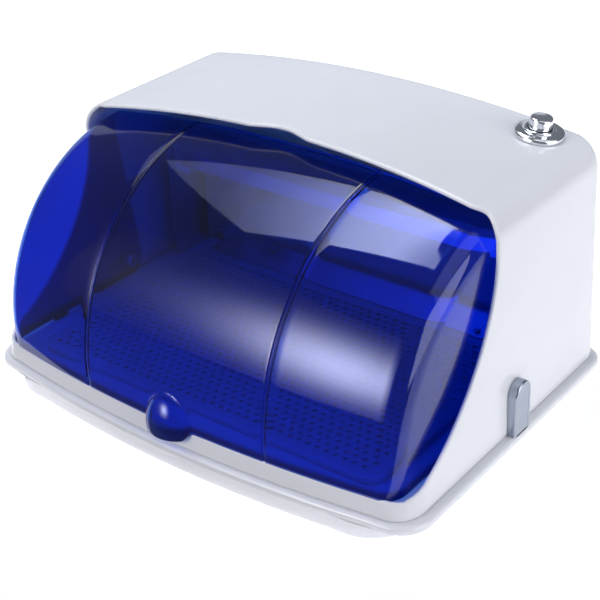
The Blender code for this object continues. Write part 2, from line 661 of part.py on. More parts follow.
def make_lamp(glass, cap_metal, plastic):
    reach = LAMP_HALF - LAMP_CAP
    cylinder("uv_tube", (GAP - reach, LAMP_Y, LAMP_Z), (reach - GAP, LAMP_Y, LAMP_Z), LAMP_RADIUS,
             glass)
    inner, outer = LAMP_HALF + 0.0005, CHEEK_X - GAP
    outline = [(LAMP_Y - 0.009, LAMP_Z - 0.012), (LAMP_Y + 0.009, LAMP_Z - 0.012)]
    outline = outline + arc(LAMP_Y, LAMP_Z + 0.002, 0.010, -20, 200, 8)
    for side, sign in (("left", -1), ("right", 1)):
        end = cylinder("lamp_cap_" + side, (sign * reach, LAMP_Y, LAMP_Z),
                       (sign * LAMP_HALF, LAMP_Y, LAMP_Z), LAMP_CAP_RADIUS, cap_metal)
        for height in (LAMP_Z - LAMP_PIN_SHIFT, LAMP_Z + LAMP_PIN_SHIFT):
            boolean(end, cylinder("lamp_pin", (sign * (LAMP_HALF - 0.002), LAMP_Y, height),
                                  (sign * (LAMP_HALF + 0.0072), LAMP_Y, height), LAMP_PIN, None,
                                  CUTTERS, 10), "UNION")
        holder = prism("lamp_holder_" + side, outline, "YZ", sign * inner, sign * outer, plastic)
        boolean(holder, box("pin_slot_" + side,
                            (sign * SLOT_X - 0.006, LAMP_Y - 0.0018, LAMP_Z - 0.0048),
                            (sign * SLOT_X + 0.006, LAMP_Y + 0.0018, LAMP_Z + 0.0048), None,
                            CUTTERS))


# ---- electrics -----------------------------------------------------------------------------------
def make_ballast(metal, plastic, steel):
    box("ballast", BALLAST_LOW, BALLAST_HIGH, metal, bevel=0.0012)
    top = CLIP_UNDER + CLIP_SHEET
    screw = [(0.0, 0.0018), (0.0018, 0.0015), (0.0026, 0.0), (0.0010, 0.0), (0.0010, -0.0038),
             (0.0, -0.0038)]
    for side, sign in (("left", -1), ("right", 1)):
        x = sign * (POST_X - 0.002)
        strap = box("ballast_clip_" + side, (x - 0.007, POST_Y - 0.007, CLIP_UNDER),
                    (x + 0.007, POST_Y + 0.007, top), steel)
        x = sign * POST_X
        bore(strap, "clip_hole", (x, POST_Y, CLIP_UNDER - 0.002), (x, POST_Y, top + 0.002), 0.0015,
             12)
        turned("ballast_screw_" + side, screw, Matrix.Translation((x, POST_Y, top + GAP)), steel,
               steps=14)
    block = box("terminal_block", BLOCK_LOW, BLOCK_HIGH, plastic)
    for step in (-1, 0, 1):
        x = BLOCK_X + step * BLOCK_PITCH
        bore(block, "terminal_well", (x, 0.069, 0.0120), (x, 0.069, 0.0200), 0.0028, 12)


def make_switch(chrome, plastic, steel):
    axis = switch_frame()
    bezel = [(0.0083, 0.0052), (0.0104, 0.0052), (0.0110, 0.0040), (0.0150, 0.0040), (0.0165, 0.0032),
             (0.0171, 0.0018), (0.0171, 0.0003), (0.0083, 0.0003)]
    turned("switch_bezel", bezel, axis, chrome, steps=36)
    body = [(0.0052, 0.0015), (SWITCH_BODY, 0.0015), (SWITCH_BODY, -SWITCH_DEPTH),
            (0.0, -SWITCH_DEPTH), (0.0, -0.0062), (0.0052, -0.0062)]
    turned("switch_body", body, axis, plastic, steps=24)
    nut = [(0.0083, -0.0031), (0.0125, -0.0031), (0.0125, -0.0066), (0.0083, -0.0066)]
    turned("switch_nut", nut, axis, steel, steps=12)
    cap = [(0.0, 0.0118), (0.0048, 0.0114), (0.0066, 0.0104), (0.0078, 0.0084), (0.0078, 0.0045),
           (0.0048, 0.0045), (0.0048, -0.0030), (0.0, -0.0030)]
    turned("power_button", cap, axis, chrome, steps=28)


def make_wires(red, black, white):
    """Insulated wires: terminal block to switch, to ballast, and ballast to both lamp ends."""
    axis = switch_frame()
    reach = -SWITCH_DEPTH - 0.0006
    tab_a = axis @ Vector((-0.003, 0.0, reach))
    tab_b = axis @ Vector((0.003, 0.0, reach))
    riser = [(0.134, 0.1180, 0.137), (0.143, 0.1225, 0.115), (0.146, 0.1225, 0.085),
             (0.146, 0.1170, 0.045), (0.142, 0.1110, 0.014)]
    wire("wire_switch_live", [tab_b, tab_b + Vector((-0.001, 0.002, -0.008))] + riser
         + [(0.090, 0.1080, 0.0080), (-0.090, 0.1080, 0.0080), (-0.118, 0.098, 0.0100),
            (-0.121, 0.0840, 0.0110), (-0.121, 0.0785, 0.0110)], WIRE_RADIUS, red)
    riser = [(x - 0.006, y, z + 0.001) for x, y, z in riser[:3]] + [(0.140, 0.1135, 0.048),
                                                                  (0.136, 0.1075, 0.017)]
    wire("wire_switch_return", [tab_a, tab_a + Vector((-0.001, 0.002, -0.008))] + riser
         + [(0.100, 0.1010, 0.0085), (0.078, 0.0980, 0.0120), (0.062, 0.0920, 0.0150),
            (0.062, 0.0845, 0.0150)], WIRE_RADIUS, black)
    wire("wire_neutral", [(-0.1054, 0.069, 0.0110), (-0.1010, 0.069, 0.0110), (-0.095, 0.076, 0.0140),
                          (-0.086, 0.0785, 0.0170), (-0.0790, 0.076, 0.0170),
                          (-0.0745, 0.076, 0.0170)], WIRE_RADIUS, white)
    for side, sign in (("left", -1), ("right", 1)):
        wire("wire_lamp_" + side, [(sign * 0.050, 0.0845, 0.0170), (sign * 0.050, 0.0920, 0.0170),
                                   (sign * 0.064, 0.1010, 0.0190),
                                   (sign * 0.100, 0.1075, 0.0240), (sign * 0.132, 0.1080, 0.0500),
                                   (sign * 0.148, 0.1080, 0.0850), (sign * 0.1505, 0.0990, 0.1120),
                                   (sign * 0.1505, 0.0886, 0.1155)], LAMP_WIRE_RADIUS, white)


def main():
    clear_scene()
    white = material("white_plastic", (0.86, 0.87, 0.90), 0.28)
    chrome = material("chrome", (0.80, 0.81, 0.83), 0.10, 1.0)
    steel = material("steel", (0.62, 0.63, 0.65), 0.30, 1.0)
    rubber = material("dark_rubber", (0.05, 0.05, 0.055), 0.75)
    blue = material("blue_acrylic", (0.02, 0.06, 0.55), 0.08, 0.0, 0.45)
    glass = material("lamp_glass", (0.80, 0.85, 0.92), 0.05, 0.0, 0.35)
    mirror = material("bright_aluminium", (0.83, 0.84, 0.86), 0.18, 1.0)
    plastic = material("switch_plastic", (0.10, 0.10, 0.11), 0.5)
    ivory = material("holder_plastic", (0.85, 0.84, 0.78), 0.5)
    nylon = material("nylon", (0.80, 0.80, 0.76), 0.55)
    red = material("red_wire", (0.55, 0.03, 0.03), 0.5)
    black = material("black_wire", (0.03, 0.03, 0.03), 0.5)
    pale = material("white_wire", (0.80, 0.80, 0.80), 0.5)
    make_hood(white)
    make_base(white)
    make_feet(rubber)
    make_case_screws(steel)
    make_gland(rubber)
    make_hinges(chrome, steel, nylon)
    make_lid(blue, rubber)
    make_floor(white)
    make_tray(steel)
    make_reflector(mirror, steel)
    make_lamp(glass, mirror, ivory)
    make_ballast(white, ivory, steel)
    make_switch(chrome, plastic, steel)
    make_wires(red, black, pale)


main()
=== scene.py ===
"""Looks of the UV sterilizer cabinet: fine shells, materials, studio light and camera.

Metres, in the frame's own axes: +X right, +Y back, +Z up, feet at height zero.
"""
import json
import math
import bmesh
import bpy
from mathutils import Matrix, Vector
from mathutils.geometry import delaunay_2d_cdt


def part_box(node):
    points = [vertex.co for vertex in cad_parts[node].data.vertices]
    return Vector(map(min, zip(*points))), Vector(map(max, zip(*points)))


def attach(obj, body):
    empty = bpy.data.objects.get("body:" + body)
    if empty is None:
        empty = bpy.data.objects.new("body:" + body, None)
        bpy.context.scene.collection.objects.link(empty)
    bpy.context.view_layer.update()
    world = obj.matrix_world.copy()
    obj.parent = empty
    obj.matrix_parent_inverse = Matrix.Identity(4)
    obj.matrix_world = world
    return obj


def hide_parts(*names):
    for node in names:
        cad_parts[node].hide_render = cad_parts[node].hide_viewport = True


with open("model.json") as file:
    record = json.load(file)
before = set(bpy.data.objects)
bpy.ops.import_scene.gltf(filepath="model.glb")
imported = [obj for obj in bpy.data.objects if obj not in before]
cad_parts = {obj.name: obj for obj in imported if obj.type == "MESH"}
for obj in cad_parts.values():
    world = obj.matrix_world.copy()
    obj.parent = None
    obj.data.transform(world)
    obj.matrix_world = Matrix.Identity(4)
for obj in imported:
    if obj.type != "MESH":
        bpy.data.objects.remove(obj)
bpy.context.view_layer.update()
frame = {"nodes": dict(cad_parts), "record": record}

# ---- dimensions taken from the frame ----------------------------------------------------------
LOW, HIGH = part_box("housing")
HOOD_HALF = HIGH[0]
HOOD_FOOT = LOW[2]
HOOD_TOP = HIGH[2]
HOOD_BACK = HIGH[1]
HOOD_FRONT = LOW[1]
LID_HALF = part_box("lid")[1][0]
FLANGE_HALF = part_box("base_tray")[1][0]
FLANGE_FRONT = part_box("base_tray")[0][1]
FLANGE_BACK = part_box("base_tray")[1][1]
TRAY_LOW, TRAY_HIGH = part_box("perforated_tray")

# ---- shape rules: hood ---------------------------------------------------------------------------
CROWN = 0.489            # drop of the arched top and of the lid's barrel: CROWN * x * x
BOW = 0.5                # plan curve of the front: BOW * x * x
WALL = 0.0029
DRAFT = 0.03             # lean of the sides
BACK_DRAFT = 0.012       # lean of the back wall, which grows from BACK_START over BACK_RUN
BACK_START = -0.02
BACK_RUN = 0.15
SILL_LEAN = 0.2
SILL_TOP = 0.032
HOOD_CORNER = 0.022      # round between side and top, seen from the front
HOOD_CORNER_Z = 0.160    # height at which the wall's place sets that corner's centre
CORNER_LOW = 1.7         # degrees along that corner where the side ends
CORNER_HIGH = 81.5       # and where the arched top starts
FRONT_CORNER = 0.020     # round between front and side, seen from above
FRONT_TURN = 78          # degrees that the front corners sweep, up to the straight side
BACK_ROUND = 0.015
RIDGE_ROUND = 0.0075
RIM_FOOT_Y = 0.0046      # front rim where the concave side edge starts
RIM_FOOT_Z = 0.156
RIM_TOP_Y = 0.0033       # and on the arched top
RIM_RISE = 0.029         # height over which it goes from one to the other
RIM_BOW = 0.35
NOTCH_HALF = 0.026
NOTCH_DEPTH = 0.0065
DIP_X = 0.163            # small dip of the rim at each upper corner
DIP_HALF = 0.012
DIP_DEPTH = 0.0035

# ---- shape rules: base ---------------------------------------------------------------------------
# plan outlines as (half width, front, back, front radius, back radius)
FLANGE_PLAN = (FLANGE_HALF, FLANGE_FRONT, FLANGE_BACK, 0.022, 0.018)
TUB_PLAN = (0.1715, -0.1281, 0.1290, 0.038, 0.016)
UPSTAND_PLAN = (0.1715, -0.1210, 0.1268, 0.017, 0.014)
CAVITY_PLAN = (0.1650, -0.1165, 0.1222, 0.028, 0.011)
CAVITY_FLOOR = 0.0045
UPSTAND_TOP = 0.0272
UPSTAND_BEVEL = 0.0004
FLANGE_TOP = 0.0202
FLANGE_ROUND = (0.0032, 0.0030)      # reach inwards and upwards of its upper round
FLANGE_LIP = 0.0010
FLANGE_LIP_Z = 0.0155
TUB_TOP = 0.0140
TUB_MIDDLE = 0.0080
TUB_ROUND = 0.0026
TUB_LEAN = 0.018         # share by which the tub is narrower at its bottom
UNDERSIDE = 0.0020
POST_X = 0.085           # posts that carry the ballast's clips
POST_Y = 0.067
POST_Z = 0.0050
POST_SIZE = (0.018, 0.024, 0.0030)

# ---- shape rules: lid ----------------------------------------------------------------------------
PIVOT = Vector((0.0, 0.016, 0.044))
LID_RADIUS = 0.139
LID_FLAT = 0.151         # half width of the barrel before it rounds into the side panels
LID_WALL = 0.0025
LID_EDGE = 0.0326        # height of the bottom edge
LID_CORNER_TURN = 81.6   # degrees that the barrel's end round sweeps
REAR_REACH = 0.01132     # with REAR_TURN, sets where the rear edge ends behind the pivot
REAR_TURN = 6.84
GROOVE_X = 0.0760
GROOVE_SECTION = ((-0.0012, 0.0), (-0.0009, 0.0001), (-0.0005, 0.0004), (-0.0002, 0.0006),
                  (0.0002, 0.0006), (0.0005, 0.0004), (0.0009, 0.0001), (0.0012, 0.0))
EAR_RADIUS = 0.0114      # round lug of the side panel about the hinge pin
EAR_MIDDLE = 0.0085
EAR_HOLE = 0.0053
PAINTED_SHADE_HEIGHTS = (0.0355, 0.0410)        # heights between which the painted shade along the lower edge fades out
SCOOP_Z = 0.0300         # middle of the finger scoop
SCOOP_HALF_X = 0.0190
SCOOP_HALF_Z = 0.0270
SCOOP_REACH = 0.0132     # how far it stands out of the barrel
SCOOP_SINK = 0.0010      # how deep its outline lies in the barrel
SCOOP_FALL = 0.012
SCOOP_BLEND = 0.0016
SCOOP_DIP = 0.0034       # how far the bottom edge dips under it
SCOOP_DIP_HALF = 0.0150
SCOOP_DIP_FADE = 0.0040
SCOOP_SPAN = 0.034       # half width within which the barrel swells into the scoop
SCOOP_ANGLE = 0.5        # and angle round the pivot below which it does, in radians

# ---- shape rules: tray, switch, plates and holes -------------------------------------------------
TRAY_SHEET = 0.0009
TRAY_ROUND = 0.0012      # rounding of the turned-down edge
TRAY_CORNER = 0.012
HOLE_PITCH = 0.0072
HOLE_RADIUS = 0.0020
HOLE_MARGIN = 0.010
SWITCH_X = 0.1359
SWITCH_Y = 0.1045
SWITCH_HOLE = 0.0084
GLAND_X = -0.120
GLAND_Z = 0.040
GLAND_HOLE = 0.0063
PIN_HOLE = 0.0034
CASE_SCREW_X = 0.090
CASE_SCREW_Z = 0.0238
CASE_SCREW_HOLE = 0.0019
PLATE_GAP = 0.0003       # between a hinge plate and the hood's side

# ---- studio --------------------------------------------------------------------------------------
CAMERA_PLACE = (0.52364, -0.63452, 0.53369)
CAMERA_YAW = 38.75
CAMERA_PITCH = 29.58
CAMERA_ROLL = -2.53
CAMERA_LENS = 81.48
CARD_HEIGHT = 1.30       # of the overhead card
GLOW_PLACE = Vector((-0.60, -2.32, 0.93))
GLOW_BASE = 0.11         # light that the glow card gives everywhere, for each of its two glows
FLOOR_HALF = 3.0
FLOOR_Y = 2.863          # its middle, so that its front edge lies just in front of the base


# ---- mesh helpers -------------------------------------------------------------------------------
def from_form(name, form, material, smooth_angle=35.0):
    """Make an object whose faces point out and are smooth up to an angle."""
    bmesh.ops.recalc_face_normals(form, faces=form.faces[:])
    mesh = bpy.data.meshes.new(name)
    form.to_mesh(mesh)
    form.free()
    piece = bpy.data.objects.new(name, mesh)
    bpy.context.scene.collection.objects.link(piece)
    mesh.materials.append(material)
    mesh.shade_smooth()
    mesh.set_sharp_from_angle(angle=math.radians(smooth_angle))
    return piece


def add_grid(form, rows):
    """Quads between rows of points, each row as long as the next."""
    made = [[form.verts.new(point) for point in row] for row in rows]
    for near, far in zip(made, made[1:]):
        for index in range(len(near) - 1):
            corners = (near[index], near[index + 1], far[index + 1], far[index])
            if len({tuple(corner.co) for corner in corners}) > 2:
                form.faces.new(corners)


def add_rings(form, rings):
    """Quads between closed rings of points, and a face over the first and the last."""
    made = [[form.verts.new(point) for point in ring] for ring in rings]
    count = len(made[0])
    for near, far in zip(made, made[1:]):
        for index in range(count):
            after = (index + 1) % count
            form.faces.new((near[index], near[after], far[after], far[index]))
    form.faces.new(made[0])
    form.faces.new(made[-1])


def smooth(share):
    """Ease a share in and out."""
    return share * share * (3 - 2 * share)


def mirror_form(form):
    """Add the mirror image in X and weld the two halves."""
    copy = bmesh.ops.duplicate(form, geom=form.verts[:] + form.edges[:] + form.faces[:])
    twins = [item for item in copy["geom"] if isinstance(item, bmesh.types.BMVert)]
    for vert in twins:
        vert.co.x = -vert.co.x
    bmesh.ops.remove_doubles(form, verts=form.verts[:], dist=0.00001)


def thicken(form, wall, segments):
    """Give an open sheet a wall on its inner side, with every free edge rounded over."""
    bmesh.ops.remove_doubles(form, verts=form.verts[:], dist=0.00001)
    bmesh.ops.recalc_face_normals(form, faces=form.faces[:])
    form.normal_update()
    sheet = form.faces[:]
    rim = [edge for edge in form.edges if edge.is_boundary]
    away = {}
    for edge in rim:
        face = edge.link_faces[0]
        along = (edge.verts[1].co - edge.verts[0].co).normalized()
        out = along.cross(face.normal)
        if out.dot(edge.verts[0].co - face.calc_center_median()) < 0:
            out = -out
        for vert in edge.verts:
            away[vert] = away.get(vert, Vector()) + out
    normals = {vert: vert.normal.copy() for vert in form.verts}
    inner = {}
    for vert in list(form.verts):
        inner[vert] = form.verts.new(vert.co - normals[vert] * wall)
    for face in sheet:
        form.faces.new([inner[vert] for vert in reversed(face.verts)])
    arcs = {}
    for vert, out in away.items():
        out.normalize()
        middle = (vert.co + inner[vert].co) / 2
        chain = [vert]
        for step in range(1, segments):
            turn = math.pi * step / segments
            chain.append(form.verts.new(middle + normals[vert] * (wall / 2) * math.cos(turn)
                                        + out * (wall / 2) * math.sin(turn)))
        arcs[vert] = chain + [inner[vert]]
    for edge in rim:
        first, second = arcs[edge.verts[0]], arcs[edge.verts[1]]
        for index in range(segments):
            form.faces.new((first[index], second[index], second[index + 1], first[index + 1]))


def turned(name, profile, place, material, steps):
    """Turn (radius, height) points about local Z."""
    form = bmesh.new()
    rows = []
    for radius, height in profile:
        rows.append([(radius * math.cos(math.tau * step / steps),
                      radius * math.sin(math.tau * step / steps), height)
                     for step in range(steps + 1)])
    add_grid(form, rows)
    bmesh.ops.remove_doubles(form, verts=form.verts[:], dist=0.000005)
    bmesh.ops.transform(form, matrix=place, verts=form.verts[:])
    return from_form(name, form, material)


def rounded(points, radius, steps=4):
    """Round every corner of an open (radius, height) line."""
    result = [points[0]]
    for before, corner, after in zip(points, points[1:], points[2:]):
        before, corner, after = Vector(before), Vector(corner), Vector(after)
        reach = min(radius, (before - corner).length * 0.45, (after - corner).length * 0.45)
        start = corner + (before - corner).normalized() * reach
        stop = corner + (after - corner).normalized() * reach
        for step in range(steps + 1):
            t = step / steps
            point = start * (1 - t) ** 2 + corner * 2 * t * (1 - t) + stop * t * t
            result.append(tuple(point))
    return result + [points[-1]]


def bore(piece, start, stop, radius):
    """Cut a round hole through a piece."""
    start, stop = Vector(start), Vector(stop)
    form = bmesh.new()
    bmesh.ops.create_cone(form, cap_ends=True, segments=32, radius1=radius, radius2=radius,
                          depth=(stop - start).length)
    turn = (stop - start).to_track_quat("Z", "Y").to_matrix().to_4x4()
    bmesh.ops.transform(form, matrix=Matrix.Translation((start + stop) / 2) @ turn,
                        verts=form.verts[:])
    mesh = bpy.data.meshes.new("bore")
    form.to_mesh(mesh)
    form.free()
    cutter = bpy.data.objects.new("bore", mesh)
    bpy.context.scene.collection.objects.link(cutter)
    step = piece.modifiers.new("bore", "BOOLEAN")
    step.operation = "DIFFERENCE"
    step.solver = "EXACT"
    step.object = cutter
    apply_modifiers(piece)
    bpy.data.objects.remove(cutter, do_unlink=True)


def apply_modifiers(piece):
    bpy.context.view_layer.update()
    graph = bpy.context.evaluated_depsgraph_get()
    made = bpy.data.meshes.new_from_object(piece.evaluated_get(graph))
    piece.modifiers.clear()
    piece.data = made


# ---- node materials -----------------------------------------------------------------------------
class Nodes:
    """Short hand for building one material's node tree."""

    def __init__(self, name):
        self.material = bpy.data.materials.new(name)
        self.material.use_nodes = True
        self.tree = self.material.node_tree
        self.shader = self.tree.nodes["Principled BSDF"]
        self.output = self.tree.nodes["Material Output"]

    def add(self, kind, **values):
        node = self.tree.nodes.new(kind)
        for key, value in values.items():
            if hasattr(node, key):
                setattr(node, key, value)
            else:
                node.inputs[key.replace("_", " ")].default_value = value
        return node

    def join(self, source, target):
        self.tree.links.new(source, target)

    def set(self, **values):
        for key, value in values.items():
            self.shader.inputs[key.replace("_", " ")].default_value = value

    def place(self):
        return self.add("ShaderNodeTexCoord").outputs["Object"]

    def axis(self, name):
        split = self.add("ShaderNodeSeparateXYZ")
        self.join(self.place(), split.inputs[0])
        return split.outputs[name]

    def noise(self, scale, detail=3.0, roughness=0.5, source=None):
        node = self.add("ShaderNodeTexNoise", Scale=scale, Detail=detail, Roughness=roughness)
        self.join(source or self.place(), node.inputs["Vector"])
        return node.outputs["Fac"]

    def ramp(self, source, stops):
        node = self.add("ShaderNodeValToRGB")
        ramp = node.color_ramp
        while len(ramp.elements) < len(stops):
            ramp.elements.new(0.5)
        for element, (place, colour) in zip(ramp.elements, stops):
            element.position = place
            element.color = (*colour, 1.0)
        self.join(source, node.inputs["Fac"])
        return node.outputs["Color"]

    def remap(self, source, start, stop, low=0.0, high=1.0, kind="LINEAR"):
        node = self.add("ShaderNodeMapRange", interpolation_type=kind)
        node.inputs["From Min"].default_value = start
        node.inputs["From Max"].default_value = stop
        node.inputs["To Min"].default_value = low
        node.inputs["To Max"].default_value = high
        self.join(source, node.inputs["Value"])
        return node.outputs["Result"]

    def span(self, noise, low, high):
        """Stretch a noise, which stays mostly within 0.3 to 0.7, over a range."""
        return self.remap(noise, 0.3, 0.7, low, high)

    def maths(self, operation, *terms, kind="ShaderNodeMath", output="Value"):
        """One step of arithmetic on numbers, vectors or other nodes' outputs."""
        node = self.add(kind, operation=operation)
        for socket, term in zip(node.inputs, terms):
            if isinstance(term, bpy.types.NodeSocket):
                self.join(term, socket)
            else:
                socket.default_value = term
        return node.outputs[output]

    def vector(self, operation, *terms, output="Vector"):
        return self.maths(operation, *terms, kind="ShaderNodeVectorMath", output=output)

    def bump(self, source, strength, distance):
        node = self.add("ShaderNodeBump", Strength=strength, Distance=distance)
        self.join(source, node.inputs["Height"])
        self.join(node.outputs["Normal"], self.shader.inputs["Normal"])


def shade(colour, factor):
    return tuple(min(1.0, channel * factor) for channel in colour)


def plastic(name, colour, rough=(0.20, 0.30), grain=900.0, relief=0.00002, coat=0.0):
    """Moulded plastic: faint flow marks in the colour, uneven gloss and a fine skin."""
    made = Nodes(name)
    flow = made.noise(9.0, 4.0, 0.6)
    stops = [(0.35, shade(colour, 0.98)), (0.65, shade(colour, 1.02))]
    made.join(made.ramp(flow, stops), made.shader.inputs["Base Color"])
    made.join(made.span(made.noise(60.0, 5.0, 0.65), *rough), made.shader.inputs["Roughness"])
    made.bump(made.noise(grain, 2.0, 0.5), 0.25, relief)
    made.set(IOR=1.5, Coat_Weight=coat, Coat_Roughness=0.06)
    return made.material


def metal(name, colour, rough, brushed=(1.0, 1.0, 1.0), metallic=1.0):
    """Metal with uneven polish; brushed stretches the grain along one axis."""
    made = Nodes(name)
    mapping = made.add("ShaderNodeMapping")
    mapping.inputs["Scale"].default_value = brushed
    made.join(made.place(), mapping.inputs["Vector"])
    streaks = made.noise(400.0, 4.0, 0.6, mapping.outputs["Vector"])
    wear = made.noise(35.0, 5.0, 0.6)
    stops = [(0.3, shade(colour, 0.93)), (0.7, shade(colour, 1.04))]
    made.join(made.ramp(wear, stops), made.shader.inputs["Base Color"])
    made.join(made.span(streaks, *rough), made.shader.inputs["Roughness"])
    made.bump(streaks, 0.15, 0.00002)
    made.set(Metallic=metallic)
    return made.material


def clear_blue():
    """Tinted clear plastic that lets lamp light through; its lower edge is darkened with painted
    shade.
    """
    made = Nodes("blue_acrylic")
    flow = made.noise(14.0, 3.0, 0.5)
    # painted shade: the tint darkens towards the lower edge, standing in for the shadow behind it
    # over the sill
    edge = made.remap(made.axis("Z"), *PAINTED_SHADE_HEIGHTS, kind="SMOOTHSTEP")
    tint = made.add("ShaderNodeMix", data_type="RGBA")
    made.join(edge, tint.inputs["Factor"])
    # the dark navy colour of that painted shade
    tint.inputs[6].default_value = (0.006, 0.020, 0.200, 1.0)
    made.join(made.ramp(flow, [(0.3, (0.020, 0.092, 0.600)), (0.7, (0.027, 0.112, 0.660))]),
              tint.inputs[7])
    made.join(tint.outputs[2], made.shader.inputs["Base Color"])
    made.join(made.span(made.noise(45.0, 4.0, 0.6), 0.015, 0.045), made.shader.inputs["Roughness"])
    made.bump(made.noise(22.0, 2.0, 0.5), 0.05, 0.0003)
    made.set(IOR=1.49, Transmission_Weight=1.0)
    see = made.add("ShaderNodeBsdfTransparent")
    made.join(made.ramp(flow, [(0.3, (0.14, 0.38, 0.80)), (0.7, (0.17, 0.42, 0.84))]),
              see.inputs["Color"])
    path = made.add("ShaderNodeLightPath")
    blend = made.add("ShaderNodeMixShader")
    made.join(path.outputs["Is Shadow Ray"], blend.inputs[0])
    made.join(made.shader.outputs[0], blend.inputs[1])
    made.join(see.outputs[0], blend.inputs[2])
    made.join(blend.outputs[0], made.output.inputs["Surface"])
    return made.material


def quartz():
    """The lamp's clear glass with a faint, uneven haze."""
    made = Nodes("lamp_glass")
    haze = made.noise(30.0, 4.0, 0.6)
    made.join(made.ramp(haze, [(0.3, (0.86, 0.90, 0.95)), (0.7, (0.93, 0.95, 0.98))]),
              made.shader.inputs["Base Color"])
    made.join(made.span(haze, 0.03, 0.10), made.shader.inputs["Roughness"])
    made.set(IOR=1.46, Transmission_Weight=0.85)
    return made.material


def make_materials():
    """One finish for each slot of the record, and two of their own for the plates and the tray."""
    return {
        "white_plastic": plastic("white_plastic", (0.72, 0.73, 0.78), (0.17, 0.26), coat=0.15),
        "blue_acrylic": clear_blue(),
        "chrome": metal("chrome", (0.84, 0.86, 0.89), (0.10, 0.17)),
        # the hinge plates' chrome is darkened and blued as painted shade, so their faces read
        # grey-blue instead of mirroring the bright floor; its brushed grain and rougher polish are
        # a satin finish
        "shaded_satin_chrome": metal("shaded_satin_chrome", (0.40, 0.44, 0.52), (0.16, 0.26), (1.0, 1.0, 9.0)),
        "steel": metal("steel", (0.56, 0.58, 0.60), (0.22, 0.38), (1.0, 12.0, 12.0)),
        "tray_steel": metal("tray_steel", (0.66, 0.68, 0.70), (0.38, 0.55), (1.0, 9.0, 9.0),
                            metallic=0.45),
        "rubber": plastic("rubber", (0.035, 0.035, 0.038), (0.65, 0.85), 1400.0, 0.00004),
        "nylon": plastic("nylon", (0.76, 0.76, 0.72), (0.40, 0.55)),
        "bright_aluminium": metal("bright_aluminium", (0.80, 0.82, 0.84), (0.12, 0.24),
                                  (14.0, 1.0, 1.0)),
        "lamp_glass": quartz(),
        "holder_plastic": plastic("holder_plastic", (0.78, 0.77, 0.70), (0.35, 0.5)),
        "ballast_case": plastic("ballast_case", (0.70, 0.71, 0.72), (0.35, 0.5)),
        "switch_plastic": plastic("switch_plastic", (0.05, 0.05, 0.055), (0.35, 0.5)),
        "wire_red": plastic("wire_red", (0.50, 0.02, 0.02), (0.35, 0.5)),
        "wire_black": plastic("wire_black", (0.02, 0.02, 0.022), (0.35, 0.5)),
        "wire_white": plastic("wire_white", (0.74, 0.74, 0.74), (0.35, 0.5)),
    }


# ---- hood ----------------------------------------------------------------------------------------
def wall_at(height):
    return HOOD_HALF - DRAFT * (height - HOOD_FOOT)


def rim_shift(x):
    """How far the front rim is set back at x: its notch, its bow and its dips at the corners."""
    notch = 0.0
    if abs(x) < NOTCH_HALF:
        notch = NOTCH_DEPTH * (0.5 + 0.5 * math.cos(math.pi * x / NOTCH_HALF)) ** 0.7
    dip = smooth(max(0.0, 1 - abs(abs(x) - DIP_X) / DIP_HALF))
    return notch - RIM_BOW * x * x + DIP_DEPTH * dip


def rim_line(height):
    """Front rim at a height above the side's curve."""
    share = min(1.0, max(0.0, (height - RIM_FOOT_Z) / RIM_RISE))
    return RIM_FOOT_Y - (RIM_FOOT_Y - RIM_TOP_Y) * share


def side_curve(t):
    """The concave side edge of the mouth as (y, z): t is 0 at the top and 1 at the sill."""
    points = ((RIM_FOOT_Y, RIM_FOOT_Z), (0.0040, 0.100), (-0.052, 0.041), (-0.0985, SILL_TOP))
    weights = ((1 - t) ** 3, 3 * t * (1 - t) ** 2, 3 * t * t * (1 - t), t ** 3)
    return (sum(w * p[0] for w, p in zip(weights, points)),
            sum(w * p[1] for w, p in zip(weights, points)))


def corner_centre(height):
    """Centre of the rounded front corner at a height."""
    x = wall_at(height) - FRONT_CORNER
    front = HOOD_FRONT + SILL_LEAN * (height - HOOD_FOOT)
    return x, front + BOW * x * x + FRONT_CORNER * math.sin(math.radians(FRONT_TURN))


def side_x(y, height):
    """The hood's side at a place, turning in round the front corner."""
    centre_x, centre_y = corner_centre(height)
    if y > centre_y:
        return wall_at(height)
    drop = min(1.0, (centre_y - y) / FRONT_CORNER)
    return centre_x + FRONT_CORNER * math.sqrt(1 - drop * drop)


def profile_rows():
    """Right half of the arched section, bottom to top: (x, z, outward normal, rim y, ridge)."""
    rows = []
    for step in range(30):
        y, height = side_curve(1 - step / 30)
        start = y + rim_shift(side_x(y + rim_shift(wall_at(height)), height))
        rows.append((wall_at(height), height, (1.0, DRAFT), start, BACK_ROUND))
    centre_x = wall_at(HOOD_CORNER_Z) - HOOD_CORNER
    end_x = centre_x + HOOD_CORNER * math.cos(math.radians(CORNER_HIGH))
    centre_z = HOOD_TOP - CROWN * end_x ** 2 - HOOD_CORNER * math.sin(math.radians(CORNER_HIGH))
    for step in range(17):
        angle = math.radians(CORNER_LOW + (CORNER_HIGH - CORNER_LOW) * step / 16)
        x = centre_x + HOOD_CORNER * math.cos(angle)
        height = centre_z + HOOD_CORNER * math.sin(angle)
        ridge = BACK_ROUND + (RIDGE_ROUND - BACK_ROUND) * step / 16
        rows.append((x, height, (math.cos(angle), math.sin(angle)),
                     rim_line(height) + rim_shift(x), ridge))
    for step in range(1, 61):
        x = end_x * (1 - step / 60)
        rows.append((x, HOOD_TOP - CROWN * x * x, (2 * CROWN * x, 1.0),
                     RIM_TOP_Y + rim_shift(x), RIDGE_ROUND))
    return rows


